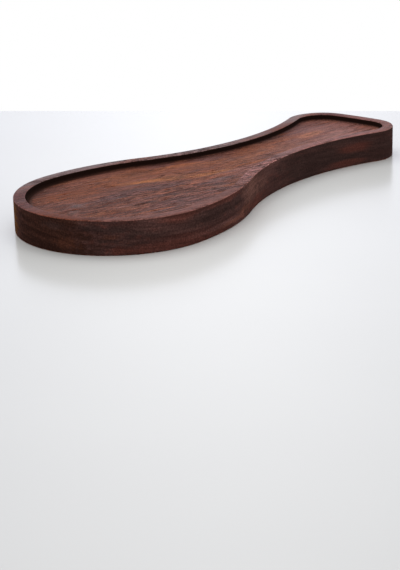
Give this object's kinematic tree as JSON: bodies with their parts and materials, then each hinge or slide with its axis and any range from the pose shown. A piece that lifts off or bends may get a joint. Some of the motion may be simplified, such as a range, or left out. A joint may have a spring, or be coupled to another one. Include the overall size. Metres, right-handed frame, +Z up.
{
  "type": "spoon rest",
  "caption": "Flat wooden tray with an hourglass plan, square sides and a shallow recess inside an even rim, for resting a cooking spoon.",
  "frame": {"origin": "middle of the underside, on the surface it rests on", "axes": "+X along the length from the broad lobe to the blunt small end, +Y across, +Z up out of the recess"},
  "size_m": [0.2566, 0.1036, 0.017],
  "materials": {
    "oiled_dark_wood": "oiled, satin"
  },
  "bodies": {
    "root": {"tray": "oiled_dark_wood"}
  },
  "joints": []
}
